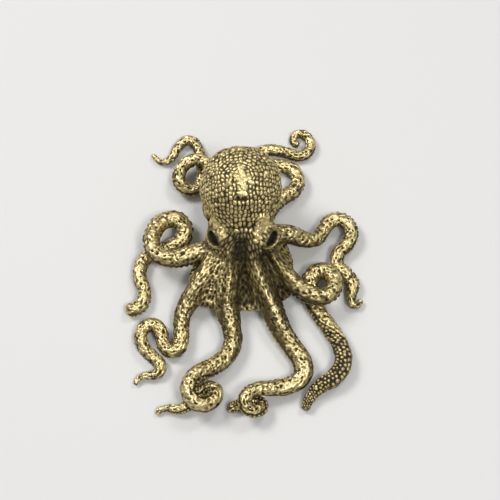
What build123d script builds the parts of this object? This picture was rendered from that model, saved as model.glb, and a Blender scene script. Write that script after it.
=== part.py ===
from build123d import *
import os
from math import cos, radians

# Octopus figurine in antique brass, built up from separate castings: a hollow mantle,
# a crown that carries the head and the webs, eight arms and two dark eye inlays.
# Millimetres. The origin is the middle of the flat foot under the crown, +Z is up,
# the eyes look towards -Y and +X is on the viewer's right.

# Mantle: a hollow egg that leans back from the head, and a little to the viewer's left
MANTLE_TILT = 30.0
MANTLE_LEAN = 3.0
MANTLE_LENGTH = 16.2
MANTLE_RADIUS = 8.3
MANTLE_NECK_RADIUS = 5.4
MANTLE_SHOULDER = 0.66
MANTLE_WALL = 1.6
NECK_Y = 2.0
NECK_Z = 10.75
SPIGOT_RADIUS = 4.0
SPIGOT_LENGTH = 2.0
CORE_HOLE_RADIUS = 2.4

# Head and eyes
HEAD_RADIUS = 6.2
HEAD_Y = 0.3
HEAD_Z = 8.4
NECK_SLEEVE_LENGTH = 3.0
NECK_SLEEVE_RADIUS = 4.9
EYE_TURRET_RADIUS = 3.1
EYE_TURRET_X = 4.6
EYE_TURRET_Y = -0.3
EYE_TURRET_Z = 10.3
EYE_LOOK_OUT = 0.55
EYE_LOOK_FORWARD = 0.45
EYE_LOOK_UP = 0.70
EYE_SLANT_IN = 0.48
EYE_SLANT_FORWARD = 0.83
EYE_SLANT_DOWN = 0.16
EYE_LENGTH = 3.7
EYE_WIDTH = 2.0
EYE_DEPTH = 1.9
INLAY_THICKNESS = 0.7

# Webs between the arms: heights of their lower edge, of the fold half way up and of their
# top; how far along the arms' stubs they reach below and half way up; where the edge of the
# web after each arm is farthest in, and at what share of that its fold lies
SKIRT_Z = 3.0
SKIRT_MID_Z = 7.0
SKIRT_TOP_Z = 9.5
SKIRT_TOP_RADIUS = 5.0
SKIRT_TOP_Y = -0.5
SKIRT_INSET = 0.9
SKIRT_MID_INSET = 0.72
WEB_EDGES = {
    "arm_mid_left": (-11.5, -6.3, 0.66),
    "arm_front_left": (-7.5, -12.7, 0.70),
    "arm_center_left": (1.6, -13.2, 0.47),
    "arm_center_right": (10.3, -11.2, 0.55),
    "arm_front_right": (11.0, -3.0, 0.62),
    "arm_mid_right": (7.5, 5.5, 0.60),
    "arm_rear_right": (0.0, 7.5, 0.60),
    "arm_rear_left": (-8.0, 3.6, 0.60),
}

# Foot, and the dish around it under the crown
FOOT_RADIUS = 3.0
DISH_RADIUS = 11.0
DISH_DEPTH = 6.5
DISH_Y = -2.0

# Joints between the castings
JOINT_GAP = 0.05
TENON_RADIUS = 0.9
TENON_LENGTH = 2.4

# Arms: the pitch of their sections, and the radius of all of them where they leave the hub
SECTION_PITCH = 1.4
HUB_RADIUS = 2.3

# Each arm, in turn around the crown: how far along its route the joint lies, its radius at
# even steps from the joint to the tip, and its centre line from hub to tip.
ARMS = {
    "arm_mid_left": (8.0, (2.0, 1.65, 1.8, 1.8, 1.45, 1.4, 1.4), [
        (-2.5, -0.5, 7.5), (-6.0, -1.2, 6.8), (-10.0, -2.1, 6.0), (-14.0, -3.0, 5.7),
        (-17.2, -2.3, 5.6), (-18.9, 0.2, 5.4), (-18.5, 3.8, 4.7), (-16.5, 6.4, 4.0),
        (-14.0, 6.8, 3.5), (-12.5, 5.1, 2.9), (-12.8, 3.1, 2.2), (-14.7, 1.6, 1.8),
        (-17.0, 0.9, 1.6), (-19.6, -0.1, 1.5), (-21.3, -2.5, 1.5), (-21.6, -5.5, 1.5),
        (-20.6, -8.6, 1.5), (-21.2, -11.8, 1.5), (-24.3, -13.1, 1.6)]),
    "arm_front_left": (13.0, (1.85, 1.6, 1.45, 1.4, 1.3, 1.15, 0.5), [
        (-3.4, -2.2, 7.5), (-7.6, -6.7, 5.6), (-10.8, -10.9, 3.6), (-12.4, -14.6, 2.5),
        (-12.6, -17.4, 2.1), (-12.6, -20.0, 2.0), (-13.1, -21.3, 1.9), (-14.4, -21.9, 1.9),
        (-15.7, -21.3, 1.8), (-16.3, -20.0, 1.8), (-16.8, -17.9, 1.8), (-18.1, -16.3, 1.8),
        (-20.1, -16.7, 1.7), (-20.9, -18.9, 1.6), (-19.8, -21.5, 1.5), (-18.0, -23.3, 1.4),
        (-16.7, -24.7, 1.4), (-16.9, -26.2, 1.3), (-18.5, -26.9, 1.2), (-20.5, -27.1, 1.0),
        (-21.9, -28.7, 0.7)]),
    "arm_center_left": (12.0, (2.0, 1.85, 1.75, 1.7, 1.5, 1.25, 0.5), [
        (-2.4, -3.0, 8.0), (-2.9, -8.0, 5.8), (-3.0, -13.0, 3.4), (-2.3, -17.0, 2.5),
        (-2.0, -20.3, 2.2), (-3.3, -23.2, 2.3), (-6.1, -25.6, 3.0), (-8.9, -27.5, 4.2),
        (-10.3, -29.4, 4.8), (-10.6, -31.4, 4.9), (-9.8, -33.1, 4.8), (-8.2, -33.9, 4.3),
        (-6.3, -33.2, 3.6), (-5.3, -31.6, 3.0), (-5.8, -30.1, 2.1), (-7.2, -29.7, 1.6),
        (-8.6, -30.4, 1.45), (-9.8, -31.8, 1.4), (-11.0, -33.2, 1.35), (-12.8, -34.0, 1.3),
        (-15.0, -33.8, 1.15), (-16.5, -34.1, 0.9), (-17.3, -35.0, 0.6)]),
    "arm_center_right": (12.0, (2.0, 1.85, 1.9, 1.65, 1.35, 1.15, 1.1), [
        (1.6, -3.0, 8.0), (4.2, -8.5, 5.6), (6.3, -13.5, 3.3), (8.0, -17.3, 2.5),
        (10.3, -21.2, 2.2), (12.2, -24.4, 2.1), (12.1, -27.3, 2.1), (9.5, -29.3, 2.1),
        (6.1, -30.1, 2.8), (3.1, -30.7, 4.0), (1.2, -31.9, 4.6), (0.5, -33.5, 4.6),
        (1.2, -34.8, 4.0), (2.8, -34.9, 3.0), (3.9, -33.8, 2.1), (3.4, -32.7, 1.5),
        (1.8, -32.4, 1.3), (-0.3, -33.0, 1.25), (-3.0, -34.2, 1.2)]),
    "arm_front_right": (11.0, (1.9, 1.65, 1.8, 1.65, 1.7, 1.75, 0.95), [
        (3.6, -1.6, 7.8), (7.4, -5.2, 6.5), (10.8, -8.9, 5.7), (14.0, -11.1, 5.7),
        (16.9, -11.2, 5.4), (18.8, -9.0, 4.8), (18.4, -6.2, 4.1), (16.4, -4.9, 3.4),
        (14.5, -5.7, 2.7), (13.9, -7.8, 2.1), (14.4, -10.6, 1.8), (16.0, -14.0, 1.75),
        (18.3, -17.5, 1.75), (20.1, -21.2, 1.75), (20.3, -24.7, 1.8), (18.5, -27.5, 1.8),
        (15.8, -29.3, 1.65), (13.7, -31.4, 1.35), (12.3, -34.2, 1.05)]),
    "arm_mid_right": (8.0, (2.0, 1.5, 1.5, 1.4, 1.4, 1.3, 0.55), [
        (2.5, 0.3, 7.8), (6.0, 1.7, 7.0), (9.5, 2.4, 5.8), (13.0, 2.0, 4.1),
        (15.4, 2.5, 3.1), (17.0, 4.6, 2.7), (18.6, 6.8, 2.6), (20.9, 7.3, 2.5),
        (22.8, 5.2, 2.4), (22.2, 2.0, 2.1), (20.0, -0.4, 1.9), (19.8, -2.9, 1.7),
        (21.6, -4.9, 1.6), (22.9, -7.0, 1.5), (22.6, -9.2, 1.35), (22.5, -10.7, 1.2),
        (22.9, -11.5, 1.1), (23.6, -11.7, 1.05), (24.3, -11.2, 1.0), (24.5, -10.3, 1.0)]),
    "arm_rear_right": (7.5, (1.65, 1.55, 1.5, 1.3, 1.15, 1.1, 0.75), [
        (2.0, 2.5, 4.4), (4.2, 6.4, 3.8), (6.4, 10.3, 3.1), (8.6, 12.7, 2.6),
        (10.6, 14.2, 2.2), (11.7, 16.2, 2.0), (11.5, 18.4, 1.85), (10.0, 20.2, 1.75),
        (7.4, 20.8, 1.6), (5.0, 20.9, 1.5), (3.6, 21.5, 1.5), (3.1, 22.8, 1.5),
        (3.6, 24.1, 1.5), (5.0, 24.7, 1.5), (7.4, 24.7, 1.5), (9.8, 24.1, 1.4),
        (12.3, 23.4, 1.3), (14.3, 24.6, 1.2), (14.7, 27.0, 1.15), (13.6, 28.8, 1.05),
        (12.2, 29.1, 1.0), (11.1, 28.1, 0.95), (11.3, 26.8, 0.9), (12.4, 26.4, 0.85)]),
    "arm_rear_left": (8.0, (1.7, 1.5, 1.4, 1.3, 1.1, 1.0, 0.5), [
        (-2.0, 2.5, 5.4), (-5.0, 4.9, 5.8), (-6.7, 8.0, 5.5), (-7.0, 11.5, 5.0),
        (-6.6, 15.0, 4.7), (-7.1, 18.6, 4.6), (-9.3, 20.8, 4.4), (-12.2, 20.2, 3.8),
        (-13.8, 17.6, 3.1), (-12.7, 15.1, 2.4), (-10.2, 15.2, 1.7), (-9.0, 18.2, 1.45),
        (-9.4, 21.8, 1.4), (-9.9, 25.0, 1.35), (-11.8, 27.3, 1.3), (-14.2, 25.8, 1.2),
        (-15.6, 23.0, 1.2), (-17.6, 22.0, 1.0), (-20.0, 24.0, 0.7)]),
}

# Directions: out of the mantle's neck, and out of each eye on the viewer's right
MANTLE_AXIS = Vector(0, 1, 0).rotate(Axis.X, MANTLE_TILT).rotate(Axis.Z, MANTLE_LEAN)
EYE_AXIS = Vector(EYE_LOOK_OUT, -EYE_LOOK_FORWARD, EYE_LOOK_UP).normalized()
EYE_SLANT = Vector(-EYE_SLANT_IN, -EYE_SLANT_FORWARD, -EYE_SLANT_DOWN)


def blend(radii, share):
    """The radius at a share of an arm's length, on a smooth line through its radii."""
    last = len(radii) - 1
    step = min(int(share * last), last - 1)
    part = share * last - step
    before, start, end, after = (radii[min(max(step + k, 0), last)] for k in (-1, 0, 1, 2))
    bend = 2 * before - 5 * start + 4 * end - after
    twist = 3 * (start - end) + after - before
    return start + 0.5 * part * (end - before + part * (bend + part * twist))


def tube(route, stations):
    """A round solid along a route, lofted through circles at (distance, radius) stations."""
    side = Vector(0, 0, 1)
    circles = []
    for along, radius in stations:
        point = route.position_at(along, position_mode=PositionMode.LENGTH)
        ahead = route.tangent_at(along, position_mode=PositionMode.LENGTH)
        side = (side - ahead * side.dot(ahead)).normalized()
        circles.append(Wire.make_circle(radius, Plane(point, x_dir=side, z_dir=ahead)))
    return Solid.make_loft(circles)


def tenon(route, joint, radius, length):
    """The round pin that reaches back from an arm's joint into the crown."""
    point = route.position_at(joint, position_mode=PositionMode.LENGTH)
    ahead = route.tangent_at(joint, position_mode=PositionMode.LENGTH)
    return Solid.make_cylinder(radius, length, Plane(point - ahead * length, z_dir=ahead))


def arm_casting(name):
    """One arm from its joint to its rounded tip, with the tenon behind it."""
    joint, radii, points = ARMS[name]
    route = Spline(*points)
    start = joint + JOINT_GAP
    tip = radii[-1]
    end = route.length - tip
    count = round((end - start) / SECTION_PITCH)
    stations = []
    for i in range(count + 1):
        stations.append((start + (end - start) * i / count, blend(radii, i / count)))
    for part_of_tip in (0.5, 0.8, 0.95):
        stations.append((end + tip * part_of_tip, tip * (1 - part_of_tip ** 2) ** 0.5))
    return tube(route, stations) + tenon(route, start, TENON_RADIUS, TENON_LENGTH)


def arm_stub(name):
    """The crown's own start of an arm, from the hub to the joint."""
    joint, radii, points = ARMS[name]
    route = Spline(*points)
    count = round(joint / SECTION_PITCH)
    stations = []
    for i in range(count + 1):
        stations.append((joint * i / count, HUB_RADIUS + (radii[0] - HUB_RADIUS) * i / count))
    return tube(route, stations)


def arm_socket(name):
    """The hole in the crown for an arm's tenon."""
    joint, radii, points = ARMS[name]
    return tenon(Spline(*points), joint, TENON_RADIUS + JOINT_GAP, TENON_LENGTH + JOINT_GAP)


def mantle_plane():
    """The seat between the mantle and the head: along the mantle's axis is this plane's Z."""
    return Plane((0, NECK_Y, NECK_Z), x_dir=(1, 0, 0), z_dir=MANTLE_AXIS)


def egg(neck, belly, length):
    """A solid of revolution with the mantle's outline, standing on the seat."""
    diagonal = cos(radians(45))
    shoulder = (belly * MANTLE_SHOULDER, 0, length / 2 * (1 + diagonal))
    outline = Spline((neck, 0, 0), (belly, 0, length / 2), shoulder, (0, 0, length),
                     tangents=[(0.5, 0, 1), (-1, 0, 0)])
    base = Line((0, 0, 0), (neck, 0, 0))
    axis = Line((0, 0, length), (0, 0, 0))
    return revolve(make_face([base, outline, axis]), Axis.Z)


def skirt():
    """The webs: a star of arms and web edges, drawn in over a fold to a ring around the head."""
    low = []
    middle = []
    high = []
    for name, (joint, radii, points) in ARMS.items():
        route = Spline(*points)
        root = route.position_at(joint, position_mode=PositionMode.LENGTH) * SKIRT_INSET
        crest = route.position_at(joint * SKIRT_MID_INSET, position_mode=PositionMode.LENGTH)
        edge_x, edge_y, share = WEB_EDGES[name]
        edge = Vector(edge_x, edge_y, 0)
        for below, fold in ((root, crest), (edge, edge * share)):
            out = Vector(below.X, below.Y - SKIRT_TOP_Y, 0).normalized() * SKIRT_TOP_RADIUS
            low.append((below.X, below.Y, SKIRT_Z))
            middle.append((fold.X, fold.Y, SKIRT_MID_Z))
            high.append((out.X, out.Y + SKIRT_TOP_Y, SKIRT_TOP_Z))
    rings = [Wire([Spline(*ring, periodic=True)]) for ring in (low, middle, high)]
    return Solid.make_loft(rings, ruled=True)


def eye_plane(side, depth):
    """A plane square to an eye's axis, a given depth below the turret's surface."""
    look = Vector(side * EYE_AXIS.X, EYE_AXIS.Y, EYE_AXIS.Z)
    slant = Vector(side * EYE_SLANT.X, EYE_SLANT.Y, EYE_SLANT.Z)
    turret = Vector(side * EYE_TURRET_X, EYE_TURRET_Y, EYE_TURRET_Z)
    slant = slant - look * slant.dot(look)
    return Plane(turret + look * (EYE_TURRET_RADIUS - depth), x_dir=slant, z_dir=look)


def eye_inlay(side):
    """The dark almond at the bottom of an eye socket."""
    almond = Ellipse(EYE_LENGTH / 2 - JOINT_GAP, EYE_WIDTH / 2 - JOINT_GAP)
    return extrude(eye_plane(side, EYE_DEPTH - JOINT_GAP) * almond, INLAY_THICKNESS)


def mantle():
    """The hollow egg with the spigot that locates it in the head."""
    seat = mantle_plane()
    shell = egg(MANTLE_NECK_RADIUS, MANTLE_RADIUS, MANTLE_LENGTH)
    inner_neck = MANTLE_NECK_RADIUS - MANTLE_WALL
    inner_radius = MANTLE_RADIUS - MANTLE_WALL
    hollow = Pos(0, 0, MANTLE_WALL) * egg(inner_neck, inner_radius, MANTLE_LENGTH - 2 * MANTLE_WALL)
    spigot = Pos(0, 0, -SPIGOT_LENGTH / 2) * Cylinder(SPIGOT_RADIUS, SPIGOT_LENGTH)
    core_hole = Cylinder(CORE_HOLE_RADIUS, 2 * (SPIGOT_LENGTH + 2 * MANTLE_WALL))
    return seat * (shell + spigot - hollow - core_hole)


def arm_crown():
    """Head, eye turrets, webs and arm stubs in one casting, with its sockets and its foot."""
    seat = mantle_plane()
    sleeve = Cone(NECK_SLEEVE_RADIUS, MANTLE_NECK_RADIUS, NECK_SLEEVE_LENGTH)
    forms = [Pos(0, HEAD_Y, HEAD_Z) * Sphere(HEAD_RADIUS)]
    forms.append(seat * Pos(0, 0, -NECK_SLEEVE_LENGTH / 2) * sleeve)
    for side in (-1, 1):
        turret = Pos(side * EYE_TURRET_X, EYE_TURRET_Y, EYE_TURRET_Z)
        forms.append(turret * Sphere(EYE_TURRET_RADIUS))
    for name in ARMS:
        forms.append(arm_stub(name))
    dish_sphere = (DISH_RADIUS ** 2 + DISH_DEPTH ** 2) / (2 * DISH_DEPTH)
    body = skirt() + forms - Pos(0, DISH_Y, DISH_DEPTH - dish_sphere) * Sphere(dish_sphere)
    body += Pos(0, 0, HEAD_Z / 2) * Cylinder(FOOT_RADIUS, HEAD_Z)
    spigot_hole = Cylinder(SPIGOT_RADIUS + JOINT_GAP, SPIGOT_LENGTH + 2 * JOINT_GAP)
    cuts = [seat * Pos(0, 0, -SPIGOT_LENGTH / 2) * spigot_hole]
    cuts.append(seat * Pos(0, 0, -JOINT_GAP) * egg(MANTLE_NECK_RADIUS, MANTLE_RADIUS, MANTLE_LENGTH))
    for name in ARMS:
        cuts.append(arm_socket(name))
    for side in (-1, 1):
        almond = Ellipse(EYE_LENGTH / 2, EYE_WIDTH / 2)
        cuts.append(extrude(eye_plane(side, EYE_DEPTH) * almond, 2 * EYE_DEPTH))
    return body - cuts


PARTS = {
    "mantle": mantle(),
    "arm_crown": arm_crown(),
    "eye_inlay_left": eye_inlay(-1),
    "eye_inlay_right": eye_inlay(1),
}
for arm in ARMS:
    PARTS[arm] = arm_casting(arm)

os.makedirs("parts", exist_ok=True)
for node, solid in PARTS.items():
    export_step(solid, f"parts/{node}.step")
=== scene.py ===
from itertools import product
from math import cos, pi, radians, sin

import bmesh
import bpy
import numpy as np
from mathutils import Euler, Matrix, Vector, kdtree, noise
from mathutils.bvhtree import BVHTree


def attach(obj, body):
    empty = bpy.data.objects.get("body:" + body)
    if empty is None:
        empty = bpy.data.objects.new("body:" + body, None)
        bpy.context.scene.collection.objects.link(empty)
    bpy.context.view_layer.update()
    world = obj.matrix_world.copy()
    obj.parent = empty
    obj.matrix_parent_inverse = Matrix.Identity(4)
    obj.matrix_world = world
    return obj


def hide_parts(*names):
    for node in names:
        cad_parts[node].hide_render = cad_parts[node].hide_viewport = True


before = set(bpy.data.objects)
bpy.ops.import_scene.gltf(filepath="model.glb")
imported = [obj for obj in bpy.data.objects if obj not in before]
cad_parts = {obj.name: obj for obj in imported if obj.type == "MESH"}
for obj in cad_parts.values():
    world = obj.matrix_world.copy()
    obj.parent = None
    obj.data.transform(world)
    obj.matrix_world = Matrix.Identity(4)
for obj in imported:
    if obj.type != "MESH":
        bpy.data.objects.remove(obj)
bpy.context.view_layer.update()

# Octopus figurine in cast antique brass: a pebbled mantle that leans back, a head with two
# hollow eyes, webs, and eight arms that curl and cross. Sizes are in millimetres unless a
# comment says otherwise; meshes are made in metres, in the frame of the solids.
MM = 0.001
SEED = 8

# The floor: how far it reaches from the middle, in metres, and the gap that all skin keeps to it
FLOOR_REACH = 2.0
FLOOR_GAP = 0.02

scene = bpy.context.scene
chance = np.random.default_rng(SEED)
noise.seed_set(SEED)

# Mantle: the middle of its seat on the head, the direction that it leans, and its egg. The back,
# from BACK_FROM to BACK_FULL up along the lean, is rounded out by BULGE at most. From CROWN_END
# up all of the skin is the mantle's; below, what lies within SEAM of its solid. At the seat,
# a wall closes the skin and runs inward, to a share of the way.
SEAT = np.array((0.0, 2.0, 10.75))
TILT = radians(30)
SIDEWAYS = radians(3)
LEAN = np.array((-sin(SIDEWAYS) * cos(TILT), cos(SIDEWAYS) * cos(TILT), sin(TILT)))
LEAN_SIDE = np.array((cos(SIDEWAYS), sin(SIDEWAYS), 0.0))
BELLY = 8.0
EGG_RADIUS = 8.3
EGG_LENGTH = 16.2
BACK_FROM = 7
BACK_FULL = 9
BULGE = 0.7
CROWN_END = 6.5
SEAM = 0.6
SEAT_WALL = 0.7

# Eyes: turrets on the head, the direction that the eye on the viewer's right looks, its slant
TURRET = Vector((4.6, -0.3, 10.3))
TURRET_RADIUS = 3.1
EYE_LOOK = Vector((0.55, -0.45, 0.70)).normalized()
EYE_SLANT = Vector((-0.48, -0.83, -0.16))
EYE_LENGTH = 3.5
EYE_WIDTH = 1.9
EYE_DEPTH = 1.6
INLAY_HEIGHT = 0.42
# The skin that an eye shapes lies from below to above its middle. Its lid is a ridge round the
# almond, at a share of the almond's size and so wide there.
EYE_BELOW = -2.2
EYE_ABOVE = 0.9
LID_SIZE = 1.30
LID_WIDTH = 0.13
LID_HEIGHT = 0.16

# Pebbles of the mantle: they stand in arches over a bright patch on its front
WHORL = np.array((-0.02, -0.22, 0.975))
PEBBLE_PITCH = 0.80
PEBBLE_LENGTH = 0.95
PEBBLE_STRETCH = 1.35

# Skin of the crown: it flows away from a point above the head, has pebbles from a height
# upward, and a net of ridges round pits below
FLOW_START = np.array((0, 1.5, 14.0))
HEAD_PITCH = 0.56
HEAD_STRETCH = 2.1
PEBBLED_FROM = 8.7
PEBBLED_TO = 9.8

# Body: how far the crown is swollen to fill its valleys, the voxels of its skin, how often
# the skin is averaged where it is faired, on the back of the mantle and to find its hollows
WEB_FILL = 0.6
COARSE = 0.3
FINE = 0.14
FAIR_ROUNDS = 160
BACK_ROUNDS = 200
HOLLOW_ROUNDS = 60
WELD = 1e-7

# The camera: where it stands, how far it looks up from straight down, its focus in pixels of
# a square picture, and its film in millimetres
CAMERA = Vector((1.489, -104.354, 237.522))
CAMERA_TURN = radians(24)
FOCUS = 1222
PICTURE = 500
FILM = 36

# Lamps: where they hang and how wide they are, in metres, and their watts
LAMPS = {
    "key_lamp": ((-0.34, 0.20, 0.52), 0.24, 2.0),
    "fill_lamp": ((0.20, -0.26, 0.57), 0.16, 1.45),
    "back_lamp": ((0.26, 0.28, 0.52), 0.16, 0.70),
}

# Places on the skin by where the camera shows them: across and down in pixels, radius in mm.
# The patch, warts and the dent below the patch are on the mantle; brows and knobs on the head;
# the painted shade lies between the head and the webs.
PATCH = ((241, 168, 0.7), (243, 173, 0.7), (240, 177, 0.9), (245, 178, 0.8), (241, 182, 0.9),
         (244, 186, 0.7), (243, 190, 0.7), (241, 194, 0.6), (245, 194, 0.6))
WARTS = ((228.5, 183.5, 0.55), (252, 182.5, 0.55), (217, 169, 0.4), (273, 206, 0.5),
         (212, 206, 0.4), (269, 226, 0.5), (258, 227, 0.45), (262, 219, 0.5),
         (222, 155, 0.45), (240, 149, 0.5), (234, 150, 0.4), (266, 173, 0.45))
DENT = ((238, 199, 0.5), (241.5, 200.5, 0.4), (245, 199.5, 0.5))
BROWS = ((208, 221, 0.9), (212, 222, 1.2), (217, 225, 1.2), (221, 230, 1.0), (222, 236, 0.8),
         (261, 218, 0.9), (266, 220, 1.2), (270, 225, 1.0), (264, 227, 1.1), (259, 231, 0.9))
KNOBS = ((213, 222, 0.6), (218, 226, 0.55), (215, 219, 0.4), (222, 234, 0.45),
         (263, 218, 0.5), (269, 225, 0.6), (264, 223, 0.45), (258, 227, 0.5),
         (256, 235, 0.5), (260, 238, 0.55), (256, 241, 0.5), (261, 243, 0.45))
SHADE = ((243, 240, 2.0), (243, 250, 2.2), (268, 258, 2.0), (282, 258, 2.4))
# How far such places are lifted, their tone, and the share of the skin's own relief that stays
MARKS = ((PATCH, 0.16, 0.95, 0.2), (BROWS, 0.40, 1.05, 0.30), (KNOBS, 0.58, 1.1, 0.1),
         (WARTS, 0.36, 1.0, 0.1), (DENT, -0.45, 0.0, 0.3))

# Folds of the webs and hollows of the mantle: lines of such places, and how far the skin is
# pushed there, in mm across, back and up. The first ones are deep and get painted shade.
DEEP_FOLDS = 2
FOLDS = (
    (((241, 246, 1.3), (241, 255, 1.5), (241, 268, 1.6), (242, 282, 1.9), (244, 297, 2.2)),
     (0, 0.55, -1.3)),
    (((264, 256, 1.0), (270, 268, 1.5), (276, 281, 1.8), (283, 294, 1.9)), (0, 0.5, -1.1)),
    (((219, 262, 1.2), (214, 280, 1.7), (208, 297, 2.0)), (0, 0.15, -0.4)),
    (((200, 258, 0.8), (194, 272, 1.0)), (0.3, 0.2, -0.5)),
    (((200, 301, 1.3), (207, 302, 1.5), (214, 304, 1.3)), (0, -0.9, 0)),
    (((213, 160, 2.2), (206, 170, 2.2)), (-0.25, 0, 0)),
    (((266, 158, 2.2), (274, 170, 2.2)), (0.3, 0, 0)),
    (((205, 206, 1.8), (206.5, 215, 1.8)), (0.7, 0, -0.2)),
    (((277, 204, 1.8), (274, 213, 1.8)), (-1.1, 0, -0.2)),
    (((240, 303, 1.3), (248, 304, 1.6), (256, 303, 1.3)), (0, -1.1, -0.3)),
)
# Crests between the folds: lines along which the skin is drawn up to a ridge
CRESTS = (
    (((209, 254, 0.9), (204, 265, 1.2), (197, 281, 1.3), (188, 297, 1.1)), (-0.1, -0.15, 0.35)),
    (((228, 253, 0.6), (230, 262, 0.6), (229, 280, 0.7), (227, 300, 0.8)), (0, -0.2, 0.45)),
    (((252, 258, 0.8), (257, 271, 1.0), (264, 288, 1.1), (271, 303, 1.1)), (0, -0.2, 0.4)),
    (((273, 258, 0.6), (283, 269, 0.8), (294, 280, 0.9), (304, 288, 0.9)), (0, -0.15, 0.35)),
)
# Places where the sheet of a web is faired before it is folded
FAIRED = ((203, 268, 1.5), (203, 276, 1.5), (210, 268, 1.7), (210, 276, 1.7),
          (217, 268, 1.7), (217, 276, 1.7), (223, 270, 1.4), (284, 262, 1.5))
# Narrow strings that run down the webs between the crests
STRINGS = (
    ((214, 253, 0.32), (209, 271, 0.36), (203, 289, 0.38)),
    ((218, 254, 0.32), (215, 272, 0.36), (210, 293, 0.38)),
    ((223, 255, 0.32), (222, 274, 0.36), (218, 297, 0.38)),
    ((236, 262, 0.32), (236, 278, 0.36), (234, 296, 0.38)),
    ((247, 262, 0.32), (250, 278, 0.36), (256, 296, 0.38)),
    ((266, 258, 0.32), (275, 272, 0.36), (285, 287, 0.38)),
)

# Arms: their radius where they start in the crown, corners in a ring of the tube, how far an
# arm's skin reaches into the crown and how much thinner it gets there
HUB_RADIUS = 2.3
RING = 64
SLEEVE = 2.4
SLEEVE_THINNER = 0.35

# Skin of the arms: how far its pattern is shifted from arm to arm, the size of its waves, and
# of a pit along and across; the turns from the top, in radians, where painted shade down the sides
# starts and where it is full
ARM_SHIFT = 7.3
LUMP_SIZE = 0.8
BEAD_SIZE = 0.38
PIT_SIZE = (0.96, 0.60, 0.60)
SHADE_START_TURN = 0.7
SHADE_FULL_TURN = 1.9

# Suckers: their pitch in radii of the arm, which counts as at least so thick, the rows with
# their shift along in pitches, the turn between rows in radians, and the turns from their
# middle where they are all there and all gone
SUCKER_PITCH = 0.50
SUCKER_ARM = 0.4
SUCKER_ROWS = ((-1.5, 0.0), (-0.5, 0.5), (0.5, 0.0), (1.5, 0.5))
SUCKER_TURN = 0.50
SUCKERS_FULL = 1.0
SUCKERS_GONE = 1.35

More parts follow.
